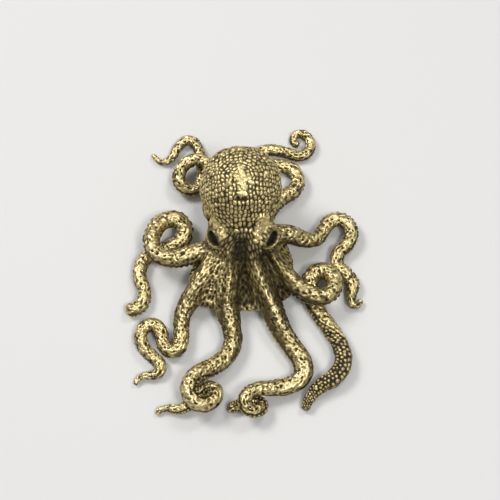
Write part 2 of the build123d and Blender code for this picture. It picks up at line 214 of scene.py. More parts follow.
# Each arm: where it leaves the crown, its radius at even steps from there to the tip, its
# centre line, and how far its suckers are rolled up, as (distance, degrees) pairs.
# A positive roll turns them towards the left of someone who walks out along the arm.
ARMS = {
    "arm_mid_left": (8.0, (2.0, 1.65, 1.8, 1.8, 1.45, 1.4, 1.4), [
        (-2.5, -0.5, 7.5), (-6.0, -1.2, 6.8), (-10.0, -2.1, 6.0), (-14.0, -3.0, 5.7),
        (-17.2, -2.3, 5.6), (-18.9, 0.2, 5.4), (-18.5, 3.8, 4.7), (-16.5, 6.4, 4.0),
        (-14.0, 6.8, 3.5), (-12.5, 5.1, 2.9), (-12.8, 3.1, 2.2), (-14.7, 1.6, 1.8),
        (-17.0, 0.9, 1.6), (-19.6, -0.1, 1.5), (-21.3, -2.5, 1.5), (-21.6, -5.5, 1.5),
        (-20.6, -8.6, 1.5), (-21.2, -11.8, 1.5), (-24.3, -13.1, 1.6)],
        [(0, 0), (14, 25), (24, 45), (34, 30), (44, 20), (70, 20)]),
    "arm_front_left": (13.0, (1.85, 1.6, 1.45, 1.4, 1.3, 1.15, 0.5), [
        (-3.4, -2.2, 7.5), (-7.6, -6.7, 5.6), (-10.8, -10.9, 3.6), (-12.4, -14.6, 2.5),
        (-12.6, -17.4, 2.1), (-12.6, -20.0, 2.0), (-13.1, -21.3, 1.9), (-14.4, -21.9, 1.9),
        (-15.7, -21.3, 1.8), (-16.3, -20.0, 1.8), (-16.8, -17.9, 1.8), (-18.1, -16.3, 1.8),
        (-20.1, -16.7, 1.7), (-20.9, -18.9, 1.6), (-19.8, -21.5, 1.5), (-18.0, -23.3, 1.4),
        (-16.7, -24.7, 1.4), (-16.9, -26.2, 1.3), (-18.5, -26.9, 1.2), (-20.5, -27.1, 1.0),
        (-21.9, -28.7, 0.7)],
        [(0, 0), (20, 15), (32, -20), (60, -10)]),
    "arm_center_left": (12.0, (2.0, 1.85, 1.75, 1.7, 1.5, 1.25, 0.5), [
        (-2.4, -3.0, 8.0), (-2.9, -8.0, 5.8), (-3.0, -13.0, 3.4), (-2.3, -17.0, 2.5),
        (-2.0, -20.3, 2.2), (-3.3, -23.2, 2.3), (-6.1, -25.6, 3.0), (-8.9, -27.5, 4.2),
        (-10.3, -29.4, 4.8), (-10.6, -31.4, 4.9), (-9.8, -33.1, 4.8), (-8.2, -33.9, 4.3),
        (-6.3, -33.2, 3.6), (-5.3, -31.6, 3.0), (-5.8, -30.1, 2.1), (-7.2, -29.7, 1.6),
        (-8.6, -30.4, 1.45), (-9.8, -31.8, 1.4), (-11.0, -33.2, 1.35), (-12.8, -34.0, 1.3),
        (-15.0, -33.8, 1.15), (-16.5, -34.1, 0.9), (-17.3, -35.0, 0.6)],
        [(0, 0), (22, 0), (30, 70), (46, 100), (56, 40), (70, 20)]),
    "arm_center_right": (12.0, (2.0, 1.85, 1.9, 1.65, 1.35, 1.15, 1.1), [
        (1.6, -3.0, 8.0), (4.2, -8.5, 5.6), (6.3, -13.5, 3.3), (8.0, -17.3, 2.5),
        (10.3, -21.2, 2.2), (12.2, -24.4, 2.1), (12.1, -27.3, 2.1), (9.5, -29.3, 2.1),
        (6.1, -30.1, 2.8), (3.1, -30.7, 4.0), (1.2, -31.9, 4.6), (0.5, -33.5, 4.6),
        (1.2, -34.8, 4.0), (2.8, -34.9, 3.0), (3.9, -33.8, 2.1), (3.4, -32.7, 1.5),
        (1.8, -32.4, 1.3), (-0.3, -33.0, 1.25), (-3.0, -34.2, 1.2)],
        [(0, 0), (12, -20), (18, -45), (30, -40), (38, -30), (46, -70), (52, -120), (60, -150)]),
    "arm_front_right": (11.0, (1.9, 1.65, 1.8, 1.65, 1.7, 1.75, 0.95), [
        (3.6, -1.6, 7.8), (7.4, -5.2, 6.5), (10.8, -8.9, 5.7), (14.0, -11.1, 5.7),
        (16.9, -11.2, 5.4), (18.8, -9.0, 4.8), (18.4, -6.2, 4.1), (16.4, -4.9, 3.4),
        (14.5, -5.7, 2.7), (13.9, -7.8, 2.1), (14.4, -10.6, 1.8), (16.0, -14.0, 1.75),
        (18.3, -17.5, 1.75), (20.1, -21.2, 1.75), (20.3, -24.7, 1.8), (18.5, -27.5, 1.8),
        (15.8, -29.3, 1.65), (13.7, -31.4, 1.35), (12.3, -34.2, 1.05)],
        [(0, 0), (12, -15), (22, -35), (32, -40), (39, -70), (45, -165), (49, -180), (70, -180)]),
    "arm_mid_right": (8.0, (2.0, 1.5, 1.5, 1.4, 1.4, 1.3, 0.55), [
        (2.5, 0.3, 7.8), (6.0, 1.7, 7.0), (9.5, 2.4, 5.8), (13.0, 2.0, 4.1),
        (15.4, 2.5, 3.1), (17.0, 4.6, 2.7), (18.6, 6.8, 2.6), (20.9, 7.3, 2.5),
        (22.8, 5.2, 2.4), (22.2, 2.0, 2.1), (20.0, -0.4, 1.9), (19.8, -2.9, 1.7),
        (21.6, -4.9, 1.6), (22.9, -7.0, 1.5), (22.6, -9.2, 1.35), (22.5, -10.7, 1.2),
        (22.9, -11.5, 1.1), (23.6, -11.7, 1.05), (24.3, -11.2, 1.0), (24.5, -10.3, 1.0)],
        [(0, 0), (14, 20), (22, 50), (50, 50)]),
    "arm_rear_right": (7.5, (1.65, 1.55, 1.5, 1.3, 1.15, 1.1, 0.75), [
        (2.0, 2.5, 4.4), (4.2, 6.4, 3.8), (6.4, 10.3, 3.1), (8.6, 12.7, 2.6),
        (10.6, 14.2, 2.2), (11.7, 16.2, 2.0), (11.5, 18.4, 1.85), (10.0, 20.2, 1.75),
        (7.4, 20.8, 1.6), (5.0, 20.9, 1.5), (3.6, 21.5, 1.5), (3.1, 22.8, 1.5),
        (3.6, 24.1, 1.5), (5.0, 24.7, 1.5), (7.4, 24.7, 1.5), (9.8, 24.1, 1.4),
        (12.3, 23.4, 1.3), (14.3, 24.6, 1.2), (14.7, 27.0, 1.15), (13.6, 28.8, 1.05),
        (12.2, 29.1, 1.0), (11.1, 28.1, 0.95), (11.3, 26.8, 0.9), (12.4, 26.4, 0.85)],
        [(0, 0), (16, -30), (30, 20), (40, -25), (60, -25)]),
    "arm_rear_left": (8.0, (1.7, 1.5, 1.4, 1.3, 1.1, 1.0, 0.5), [
        (-2.0, 2.5, 5.4), (-5.0, 4.9, 5.8), (-6.7, 8.0, 5.5), (-7.0, 11.5, 5.0),
        (-6.6, 15.0, 4.7), (-7.1, 18.6, 4.6), (-9.3, 20.8, 4.4), (-12.2, 20.2, 3.8),
        (-13.8, 17.6, 3.1), (-12.7, 15.1, 2.4), (-10.2, 15.2, 1.7), (-9.0, 18.2, 1.45),
        (-9.4, 21.8, 1.4), (-9.9, 25.0, 1.35), (-11.8, 27.3, 1.3), (-14.2, 25.8, 1.2),
        (-15.6, 23.0, 1.2), (-17.6, 22.0, 1.0), (-20.0, 24.0, 0.7)],
        [(0, 0), (18, -25), (30, -40), (44, -45), (60, -40)]),
}

# Webs that run on along an arm: the side (-1 left, 1 right of someone who walks out), width, end
FINS = {
    "arm_front_left": ((-1, 0.6, 16.5),),
    "arm_center_left": ((1, 0.9, 16.0), (-1, 0.4, 16.0)),
    "arm_center_right": ((1, 0.75, 28.0), (-1, 0.4, 17.0)),
}
# They stand at a turn from the top and spread over another, in radians, and start so far
# before the joint
FIN_TURN = 1.6
FIN_SPREAD = 0.4
FIN_LEAD = 3

# How bright the tone stays under painted shade where an arm leaves the webs; past the joint the
# painted shade fades out
ROOT_SHADED_TONE = {"arm_front_left": 0.60, "arm_center_left": 0.42, "arm_center_right": 0.36,
             "arm_front_right": 0.60, "arm_mid_right": 0.75}
ROOT_SHADED_TONE_ELSEWHERE = 0.9
SHADE_FADES_FROM = 2
SHADE_FADES_TO = 12


# ---- small tools ----

def smoothstep(low, high, value):
    """0 at low, 1 at high, with soft ends; low may be the larger one."""
    share = np.clip((value - low) / (high - low), 0, 1)
    return share * share * (3 - 2 * share)


def unit(vectors):
    """Vectors at length 1."""
    return vectors / np.maximum(np.linalg.norm(vectors, axis=-1, keepdims=True), 1e-12)


def laid(directions, normals):
    """Directions laid flat on a skin."""
    return unit(directions - (directions * normals).sum(1, keepdims=True) * normals)


def finished_mesh(holder):
    """The mesh that a curve or a modified object ends up as, on its own."""
    bpy.context.view_layer.update()
    depsgraph = bpy.context.evaluated_depsgraph_get()
    mesh = bpy.data.meshes.new_from_object(holder.evaluated_get(depsgraph))
    bpy.data.objects.remove(holder)
    return mesh


def placed(name, data):
    """An object with these data, at the origin."""
    made = bpy.data.objects.new(name, data)
    scene.collection.objects.link(made)
    return made


def opened(*meshes):
    """The shapes of some meshes, opened for editing."""
    shape = bmesh.new()
    for mesh in meshes:
        shape.from_mesh(mesh)
    shape.verts.ensure_lookup_table()
    shape.faces.ensure_lookup_table()
    return shape


def poured(shape, mesh):
    """A mesh with the edited shape, its faces smooth."""
    for face in shape.faces:
        face.smooth = True
    shape.to_mesh(mesh)
    shape.free()
    return mesh


def rim(shape):
    """The open edges of a shape."""
    return [edge for edge in shape.edges if edge.is_boundary]


def corners(mesh):
    """A mesh's vertices in millimetres."""
    flat = np.empty(len(mesh.vertices) * 3)
    mesh.vertices.foreach_get("co", flat)
    return flat.reshape(-1, 3) / MM


def set_corners(mesh, points):
    """Moves a mesh's vertices to points in millimetres."""
    mesh.vertices.foreach_set("co", (points * MM).ravel())
    mesh.update()


def corner_normals(mesh):
    """The way the skin faces at each vertex."""
    flat = np.empty(len(mesh.vertices) * 3)
    mesh.vertices.foreach_get("normal", flat)
    return flat.reshape(-1, 3)


def corner_pairs(mesh):
    """The two vertices of each edge."""
    flat = np.empty(len(mesh.edges) * 2, dtype=np.int32)
    mesh.edges.foreach_get("vertices", flat)
    return flat.reshape(-1, 2)


def relaxed(values, pairs, rounds):
    """Vertex values averaged with their neighbours again and again."""
    first, second = pairs.T
    count = len(values)
    degree = np.bincount(np.concatenate((first, second)), minlength=count)
    flat = values.reshape(count, -1).copy()
    for _ in range(rounds):
        for k in range(flat.shape[1]):
            column = flat[:, k]
            total = np.bincount(first, column[second], count)
            total = total + np.bincount(second, column[first], count)
            flat[:, k] = 0.5 * column + 0.5 * total / np.maximum(degree, 1)
    return flat.reshape(values.shape)


def linked(count, first, second):
    """A number for each of so many items, the same for all that the given pairs link."""
    label = np.arange(count)
    while True:
        before = label.copy()
        low = np.minimum(label[first], label[second])
        np.minimum.at(label, first, low)
        np.minimum.at(label, second, low)
        label = label[label]
        if np.array_equal(before, label):
            return label


def face_pairs(mesh):
    """The two faces at each edge of a closed mesh."""
    edge = np.empty(len(mesh.loops), dtype=np.int32)
    mesh.loops.foreach_get("edge_index", edge)
    sides = np.empty(len(mesh.polygons), dtype=np.int32)
    mesh.polygons.foreach_get("loop_total", sides)
    face = np.repeat(np.arange(len(mesh.polygons)), sides)
    order = np.argsort(edge, kind="stable")
    shared = np.flatnonzero(edge[order][1:] == edge[order][:-1])
    return face[order[shared]], face[order[shared + 1]]


def surface_of(mesh):
    """A mesh's faces, to find points on."""
    return BVHTree.FromPolygons([v.co for v in mesh.vertices], [p.vertices for p in mesh.polygons])


def tree_of(points):
    """Some points, to find the nearest of."""
    tree = kdtree.KDTree(len(points))
    for i, point in enumerate(points):
        tree.insert(point, i)
    tree.balance()
    return tree


def write_tone(mesh, tone):
    """How bare the brass is at each vertex, painted shade included: 0 in a dark hollow, 1 on a
    rubbed crest.
    """
    mesh.attributes.new("tone", "FLOAT", "POINT").data.foreach_set("value", np.clip(tone, 0, 1))


def cells(points, cell):
    """Distance to the nearest seed of a random pattern of cells, and a number for that cell."""
    found = [noise.voronoi(spot) for spot in (points / np.asarray(cell)).tolist()]
    near = np.array([distances[0] for distances, seeds in found])
    number = np.array([noise.cell(seeds[0] * 50) for distances, seeds in found])
    return near, number


def ripple(points, size):
    """Soft random waves, about -1 to 1."""
    return np.array([noise.noise(spot) for spot in (points / size).tolist()])


def warped(points, size, reach):
    """Points pushed about by soft random waves, to make a pattern on them uneven."""
    waves = [noise.noise_vector(spot) for spot in (points / size).tolist()]
    return points + reach * np.array(waves)


# ---- arms ----

def arm_rings(name):
    """An arm's centre line as a tube: its mesh, and for each ring and corner where it lies."""
    points = ARMS[name][2]
    curve = bpy.data.curves.new(name, "CURVE")
    curve.dimensions = "3D"
    curve.twist_mode = "Z_UP"
    curve.resolution_u = 24
    curve.bevel_depth = MM
    curve.bevel_resolution = RING // 2 - 2
    spline = curve.splines.new("BEZIER")
    spline.bezier_points.add(len(points) - 1)
    for knot, point in zip(spline.bezier_points, points):
        knot.co = Vector(point) * MM
        knot.handle_left_type = "AUTO"
        knot.handle_right_type = "AUTO"
    mesh = finished_mesh(placed(name, curve))
    ring = corners(mesh).reshape(-1, RING, 3)
    middle = ring.mean(axis=1)
    ahead = unit(np.gradient(middle, axis=0))
    side = unit(np.cross(ahead, (0, 0, 1)))
    up = np.cross(side, ahead)
    out = unit(ring - middle[:, None])
    along = np.concatenate(([0], np.cumsum(np.linalg.norm(np.diff(middle, axis=0), axis=1))))
    around = np.arctan2((out * side[:, None]).sum(2), (out * up[:, None]).sum(2))
    return {"mesh": mesh, "middle": middle, "ahead": ahead, "side": side, "up": up,
            "out": out, "along": along, "around": around, "length": along[-1]}


def arm_radius(name, along, length):
    """An arm's plain radius: the crown's stub, a smooth line through its radii, the tip."""
    joint, radii = ARMS[name][:2]
    last = len(radii) - 1
    tip = radii[-1]
    share = np.clip((along - joint) / (length - tip - joint), 0, 1) * last
    step = np.minimum(share.astype(int), last - 1)
    part = share - step
    table = np.array(radii)
    before, start, end, after = (table[np.clip(step + k, 0, last)] for k in (-1, 0, 1, 2))
    bend = 2 * before - 5 * start + 4 * end - after
    twist = 3 * (start - end) + after - before
    plain = start + 0.5 * part * (end - before + part * (bend + part * twist))
    stub = HUB_RADIUS + (radii[0] - HUB_RADIUS) * along / joint
    past = np.clip((along - (length - tip)) / tip, 0, 0.997)
    return np.where(along < joint, stub, plain) * np.sqrt(1 - past ** 2)


def arm_skin(name, along, around, radius, length):
    """Relief in mm and tone of an arm's skin: a net of ridges round pits, suckers below, and
    painted shade on its sides and root.
    """
    joint, _, _, roll = ARMS[name]
    flat = np.stack((along, radius * np.sin(around), radius * np.cos(around)), axis=-1)
    flat = warped(flat + ARM_SHIFT * list(ARMS).index(name), 1.1, 0.34)
    lumps = ripple(flat, LUMP_SIZE)
    beads = ripple(flat + 13, BEAD_SIZE)
    near, number = cells(flat, PIT_SIZE)
    pit = smoothstep(0.56, 0.16, near) * np.clip(0.85 + 0.5 * number, 0.35, 1)
    relief = 0.15 * lumps + 0.12 * beads - 0.24 * pit
    tone = 0.90 + 0.45 * lumps + 0.60 * beads - 0.95 * pit

    # painted shade down the sides, and at the root but for the very top
    tone *= 0.25 + 0.75 * smoothstep(SHADE_FULL_TURN, SHADE_START_TURN, np.abs(around))
    root_shaded_tone = ROOT_SHADED_TONE.get(name, ROOT_SHADED_TONE_ELSEWHERE)
    top = 0.75 * np.exp(-(around / 0.38) ** 2)
    # the painted shade at the root fades past the joint, and less of it lies on the very top
    unshaded = np.maximum(smoothstep(joint + SHADE_FADES_FROM, joint + SHADE_FADES_TO, along), top)
    tone *= root_shaded_tone + (1 - root_shaded_tone) * unshaded

    # rows of suckers, on the side that the roll turns up; none stands quite in its row
    rolled = np.radians(np.interp(along, *zip(*roll)))
    below = (around - rolled) % (2 * pi) - pi
    grid = np.linspace(0, length, 400)
    pitch = SUCKER_PITCH * np.maximum(arm_radius(name, grid, length), SUCKER_ARM)
    steps = np.concatenate(([0], np.cumsum(np.diff(grid) / pitch[:-1])))
    place = np.interp(along, grid, steps)
    spacing = SUCKER_PITCH * np.maximum(radius, SUCKER_ARM)
    sucker = np.full_like(along, 9.0)
    for row, shift in SUCKER_ROWS:
        count = np.floor(place + shift + 0.5)
        stray = np.stack((count * 3.7, np.full_like(count, row * 5.1), along * 0), axis=-1)
        gap_along = (place + shift - count + 0.42 * ripple(stray, 1.0)) * spacing
        gap_across = (below - row * SUCKER_TURN - 0.22 * ripple(stray + 9, 1.0)) * radius
        bead = (0.26 + 0.10 * ripple(stray + 31, 1.0)) * radius + 1e-6
        sucker = np.minimum(sucker, np.hypot(gap_along, gap_across) / bead)
    under = smoothstep(SUCKERS_GONE, SUCKERS_FULL, np.abs(below))
    cup = smoothstep(0.98, 0.48, sucker)
    dimple = smoothstep(0.30, 0.05, sucker)
    cup_relief = np.minimum(0.16 * radius, 0.26) * (cup - 0.4 * dimple) - 0.12 * (1 - cup)
    cup_tone = 0.02 + 0.76 * cup - 0.25 * dimple + 0.25 * beads
    relief = relief * (1 - under) + cup_relief * under
    tone = tone * (1 - under) + cup_tone * under
    return relief, tone


def arm_piece(name, rings):
    """One arm's finished piece: the tube swept to its radius, with its skin on it."""
    joint = ARMS[name][0]
    mesh = rings["mesh"]
    length = rings["length"]
    around = rings["around"]
    along = np.repeat(rings["along"][:, None], RING, axis=1)
    line = along.ravel()
    radius = arm_radius(name, along, length)
    relief, tone = arm_skin(name, line, around.ravel(), radius.ravel(), length)
    relief *= smoothstep(0.05, 0.7, length - line)
    sleeve = -SLEEVE_THINNER * smoothstep(joint - 0.6, joint - SLEEVE, along)
    grown = radius + relief.reshape(along.shape) + sleeve
    waves = ripple(np.stack((line, 0 * line, 0 * line), axis=-1), 0.7)
    knots = 0.8 + 0.5 * waves.reshape(along.shape)
    for hand, wide, end in FINS.get(name, ()):
        apart = (around - hand * FIN_TURN) / FIN_SPREAD
        frill = np.exp(-apart ** 2) * smoothstep(end, joint, along)
        frill *= smoothstep(joint - FIN_LEAD, joint, along)
        grown += wide * frill * knots
        tone += (0.7 * wide * frill * knots).ravel()
    spots = (rings["middle"][:, None] + rings["out"] * grown[:, :, None]).reshape(-1, 3)
    spots[:, 2] = np.maximum(spots[:, 2], FLOOR_GAP)
    set_corners(mesh, spots)
    write_tone(mesh, tone)
    shape = opened(mesh)
    inside = [shape.verts[i] for i in np.flatnonzero(line < joint - SLEEVE)]
    bmesh.ops.delete(shape, geom=inside, context="VERTS")
    bmesh.ops.holes_fill(shape, edges=rim(shape), sides=0)
    bmesh.ops.recalc_face_normals(shape, faces=shape.faces)
    return placed(name + "_skin", poured(shape, mesh))


# ---- head, webs and mantle ----

def eye_frame(side):
    """Where an eye looks, the directions along and across its almond, the turret's middle."""
    look, slant, turret = (Vector((side * v.x, v.y, v.z)) for v in (EYE_LOOK, EYE_SLANT, TURRET))
    slant = (slant - look * slant.dot(look)).normalized()
    return look, slant, look.cross(slant), turret


def shell(mesh, steps):
    """A mesh after a chain of steps: evened out, softened, or swollen by so many millimetres."""
    holder = placed("shell", mesh)
    for step, amount in steps:
        if step == "even":
            remesh = holder.modifiers.new(step, "REMESH")
            remesh.mode = "VOXEL"
            remesh.voxel_size = amount * MM
        elif step == "soft":
            smooth = holder.modifiers.new(step, "SMOOTH")
            smooth.factor = 0.5
            smooth.iterations = amount
        else:
            displace = holder.modifiers.new(step, "DISPLACE")
            displace.mid_level = 0
            displace.strength = amount * MM
    return finished_mesh(holder)


def plain_body():
    """Head, webs and mantle as one smooth skin, from copies of the two solids."""
    shape = opened(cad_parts["arm_crown"].data)
    bmesh.ops.remove_doubles(shape, verts=shape.verts, dist=WELD)
    for side in (-1, 1):
        place = Matrix.Translation(eye_frame(side)[3] * MM)
        bmesh.ops.create_icosphere(shape, subdivisions=4, radius=TURRET_RADIUS * MM, matrix=place)
    mesh = poured(shape, bpy.data.meshes.new("crown"))

    # swollen and shrunk again, the crown keeps its crests while its valleys fill up to webs
    mesh = shell(mesh, (("even", COARSE), ("soft", 6), ("swell", WEB_FILL),
                        ("even", COARSE), ("soft", 4), ("swell", -WEB_FILL)))
    shape = opened(mesh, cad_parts["mantle"].data)
    bmesh.ops.remove_doubles(shape, verts=shape.verts, dist=WELD)
    mesh = poured(shape, mesh)
    mesh = shell(mesh, (("even", COARSE), ("soft", 6), ("even", FINE), ("soft", 3)))

    # the walls of the hollow inside aren't wanted: only the outer skin stays
    label = linked(len(mesh.vertices), *corner_pairs(mesh).T)
    largest = np.bincount(label).argmax()
    shape = opened(mesh)
    inner = [shape.verts[i] for i in np.flatnonzero(label != largest)]
    bmesh.ops.delete(shape, geom=inner, context="VERTS")
    return poured(shape, mesh)


def whorl_frame():
    """The directions of the mantle's arches: out of the patch, to its side and up over it."""
    out = unit(WHORL)
    side = unit(LEAN_SIDE - (LEAN_SIDE @ out) * out)
    return out, side, np.cross(out, side)


def mantle_seeds(surface):
    """Middles of the mantle's pebbles, in arches over its patch that run down to the head."""
    center = SEAT + LEAN * BELLY
    out, side, up = whorl_frame()
    seeds = []

    def drop(ray):
        hit = surface.ray_cast(Vector(center * MM), Vector(ray))[0]
        if hit is not None:
            seeds.append(np.array(hit) / MM + chance.normal(0, 0.11, 3))

    step = PEBBLE_PITCH / EGG_RADIUS
    for arch in range(int(pi / step)):
        wide = (arch + 0.5) * step
        over = max(1, round(pi * sin(wide) * EGG_RADIUS / PEBBLE_LENGTH))
        for k in range(over):
            turn = pi * ((k + 0.5 + chance.uniform(-0.3, 0.3)) / over - 0.5)
            drop(out * cos(wide) + (side * sin(turn) + up * cos(turn)) * sin(wide))
        down = max(1, round(pi * abs(cos(wide)) * EGG_RADIUS / PEBBLE_LENGTH))
        for k in range(down):
            turn = pi * (k + 0.5 + chance.uniform(-0.3, 0.3)) / down
            for hand in (-1, 1):
                if wide < pi / 2:
                    drop((out * cos(turn) - up * sin(turn)) * cos(wide) + side * hand * sin(wide))
    return np.array(seeds)


def scattered_seeds(points, flow, pitch, stretch):
    """Seeds spread at random over points, stretch times as far apart along the flow."""
    taken = []
    boxes = {}
    reach = pitch * stretch

    def too_close(i, j):
        gap = points[j] - points[i]
        along = gap @ flow[i]
        return gap @ gap - along * along * (1 - 1 / stretch ** 2) < pitch ** 2

    for i in chance.permutation(len(points)):
        x, y, z = np.floor(points[i] / reach).astype(int).tolist()
        others = (j for dx, dy, dz in product((-1, 0, 1), repeat=3)
                  for j in boxes.get((x + dx, y + dy, z + dz), ()))
        if not any(too_close(i, j) for j in others):
            taken.append(i)
            boxes.setdefault((x, y, z), []).append(i)
    return points[taken]


def pebble_cells(points, seeds, flow, stretch):
    """For points among seeds: the stretched distance to the nearest one, how much further the
    second is, which is the nearest, and how far the two stand in line with the flow."""
    tree = tree_of(seeds)
    found = np.array([[hit[1] for hit in tree.find_n(point, 7)] for point in points.tolist()])
    gaps = seeds[found] - points[:, None]
    along = (gaps * flow[:, None]).sum(2)
    far = np.sqrt(np.maximum((gaps ** 2).sum(2) - along ** 2 * (1 - 1 / stretch ** 2), 0))
    order = np.argsort(far, axis=1)
    rows = np.arange(len(points))
    nearest = found[rows, order[:, 0]]
    second = found[rows, order[:, 1]]
    apart = unit(seeds[second] - seeds[nearest])
    in_line = np.abs((apart * flow).sum(1))
    near = far[rows, order[:, 0]]
    return near, far[rows, order[:, 1]] - near, nearest, in_line


def groove(gap, low, high, in_line, bridged):
    """0 in the seam between two pebbles, 1 on them; seams across the flow are bridged in part."""
    return 1 - (1 - smoothstep(low, high, gap)) * (1 - bridged * in_line ** 2)


def seen(surface, across, down):
    """The point of a surface that the camera shows at a place in the picture, if any."""
    ray = Vector(((across - PICTURE / 2) / FOCUS, (PICTURE / 2 - down) / FOCUS, -1))
    ray.rotate(Euler((CAMERA_TURN, 0, 0)))
    hit = surface.ray_cast(CAMERA * MM, ray.normalized())[0]
    return None if hit is None else np.array(hit) / MM


def reach_of(points, surface, places):
    """1 at the places that the camera shows, fading out over their radii."""
    field = np.zeros(len(points))
    for across, down, radius in places:
        middle = seen(surface, across, down)
        if middle is not None:
            apart = np.linalg.norm(points - middle, axis=1)
            field = np.maximum(field, np.exp(-(apart / radius) ** 2))
    return field


def drawn(*lines):
    """Places along lines of them, close together."""
    places = []
    for line in lines:
        for start, end in zip(line, line[1:]):
            for share in np.linspace(0, 1, 8):
                places.append(tuple(np.array(start) * (1 - share) + np.array(end) * share))
    return places


def folded(mesh):
    """The plain body, rounded out at the back, its webs pushed into folds and drawn to crests."""
    points = corners(mesh)
    surface = surface_of(mesh)
    pairs = corner_pairs(mesh)
    fair = smoothstep(0.0, 0.6, reach_of(points, surface, FAIRED))[:, None]
    moved = points + (relaxed(points, pairs, FAIR_ROUNDS) - points) * fair

    # the back of the mantle, past its belly
    rise = (points - SEAT) @ LEAN
    spoke = points - SEAT - rise[:, None] * LEAN
    past_belly = np.clip(2 * rise / EGG_LENGTH - 1, 0, 1)
    lack = EGG_RADIUS * np.sqrt(1 - past_belly ** 2) - np.linalg.norm(spoke, axis=1)
    on_back = smoothstep(BACK_FROM, BACK_FULL, rise)
    moved += unit(spoke) * (np.clip(lack, 0, BULGE) * on_back)[:, None]
    moved += (relaxed(moved, pairs, BACK_ROUNDS) - moved) * on_back[:, None]

    for line, push in FOLDS:
        field = smoothstep(0.0, 0.8, reach_of(points, surface, drawn(line)))
        moved += field[:, None] * np.array(push)
    for line, push in CRESTS:
        field = reach_of(points, surface, drawn(line))
        moved += field[:, None] * np.array(push)
    moved[:, 2] = np.maximum(moved[:, 2], FLOOR_GAP)
    set_corners(mesh, relaxed(moved, pairs, 2))
    return mesh


def mantle_share(points):
    """1 on the mantle, 0 on the crown, with a soft change at the seat."""
    rise = (points - SEAT) @ LEAN
    egg = surface_of(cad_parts["mantle"].data)
    off_egg = np.array([egg.find_nearest(point)[3] for point in (points * MM).tolist()]) / MM
    off_egg[rise > CROWN_END] = 0
    return smoothstep(-1.6, -0.2, rise) * smoothstep(1.3, 0.5, off_egg)


def mantle_pebbles(points, normals, surface):
    """Relief and tone of the mantle: pebbles in arches over its patch and in columns below."""
    seeds = mantle_seeds(surface)
    out, side, up = whorl_frame()
    ray = unit(points - SEAT - LEAN * BELLY)
    over = unit(np.cross(out, ray))
    over *= np.where((over @ up)[:, None] > 0, -1, 1)
    share = smoothstep(-0.15, 0.15, ray @ up)[:, None]
    grain = laid(over * share - up * (1 - share), normals)
    spots = warped(points, 1.2, 0.24)
    near, gap, nearest, in_line = pebble_cells(spots, seeds, grain, PEBBLE_STRETCH)
    size = chance.uniform(0.3, 1.0, len(seeds))[nearest]
    uneven = ripple(points, 1.1)
    raised = groove(gap, 0.0, 0.28, in_line, 0.55)
    relief = 0.44 * raised * (0.3 + 0.7 * size) * (1 - 0.7 * (near / 0.60) ** 2) - 0.20
    relief += 0.12 * uneven
    seam = groove(gap, 0.04, 0.36, in_line, 0.45)
    tone = (0.04 + 0.96 * seam) * (0.60 + 0.40 * size) * (1.3 - 0.8 * (near / 0.5) ** 2)
    tone *= 1 + 0.45 * uneven
    return relief, tone


def crown_net(points, flow):
    """Relief and tone of the crown: drawn-out pebbles on the head, on the webs a net of ridges
    round drawn-out pits."""
    spots = warped(points, 1.3, 0.22)
    seeds = scattered_seeds(points, flow, HEAD_PITCH, HEAD_STRETCH)
    near, gap, nearest, in_line = pebble_cells(spots, seeds, flow, HEAD_STRETCH)
    size = chance.uniform(0.5, 1.0, len(seeds))[nearest]
    lumps = ripple(spots, LUMP_SIZE)
    raised = groove(gap, 0.0, 0.32, in_line, 0.5)
    pebble_relief = 0.24 * raised * size * (1 - 0.8 * (near / 0.5) ** 2) - 0.12
    pebble_tone = raised * (0.25 + 0.6 * size) * (1.05 - 1.0 * (near / 0.45) ** 2)
    pit = smoothstep(0.42, 0.12, near) * (0.4 + 0.6 * size)
    net_relief = 0.12 - 0.28 * pit + 0.08 * lumps
    net_tone = 0.80 - 0.78 * pit + 0.35 * lumps
    pebbled = smoothstep(PEBBLED_FROM, PEBBLED_TO, points[:, 2] + 0.5 * lumps)
    relief = net_relief + (pebble_relief - net_relief) * pebbled
    tone = net_tone + (pebble_tone - net_tone) * pebbled
    return relief, tone


def nearest_rings(points, rings):
    """For each point, the number of the nearest arm and of its nearest ring, near the crown."""
    spots = []
    middles = []
    for a, name in enumerate(ARMS):
        ring = rings[name]
        for k in range(0, len(ring["along"]), 2):
            if ring["along"][k] < ARMS[name][0] + 2:
                middles.append(ring["middle"][k])
                spots.append((a, k))
    tree = tree_of(middles)
    return np.array(spots)[[tree.find(point)[1] for point in points.tolist()]]


def stub_skin(name, ring, k, points):
    """Relief and tone of an arm's stub near its rings k, and where the stub has them."""
    joint = ARMS[name][0]
    gap = points - ring["middle"][k]
    along = ring["along"][k] + (gap * ring["ahead"][k]).sum(1)
    across = (gap * ring["side"][k]).sum(1)
    upward = (gap * ring["up"][k]).sum(1)
    radius = arm_radius(name, along, ring["length"])
    relief, tone = arm_skin(name, along, np.arctan2(across, upward), radius, ring["length"])
    on_stub = smoothstep(1.35, 1.05, np.hypot(across, upward) / radius)
    return relief, tone, smoothstep(joint - 4, joint - 1, along) * on_stub


def press_eye(side, points, normals, moved, tone):
    """Presses an eye into the moved points and their tone: an almond hollow under a lid."""
    look, slant, across, turret = eye_frame(side)
    gap = points - np.array(turret + look * TURRET_RADIUS)
    u = gap @ np.array(slant) / (EYE_LENGTH / 2)
    v = gap @ np.array(across) / (EYE_WIDTH / 2)
    w = gap @ np.array(look)
    almond = np.hypot(u, v)
    close = (w > EYE_BELOW) & (w < EYE_ABOVE)
    calm = smoothstep(1.7, 1.2, almond) * close
    moved += (points + normals * 0.05 - moved) * calm[:, None]
    tone += (0.45 - tone) * calm * 0.6
    lid = np.exp(-((almond - LID_SIZE) / LID_WIDTH) ** 2) * close
    lid *= smoothstep(-0.2, 0.7, side * v)
    moved += normals * (LID_HEIGHT * lid)[:, None]
    tone += (0.9 - tone) * lid
    pit = smoothstep(1.06, 0.86, almond) * close
    moved -= np.array(look) * (EYE_DEPTH * pit)[:, None]
    tone *= 1 - pit


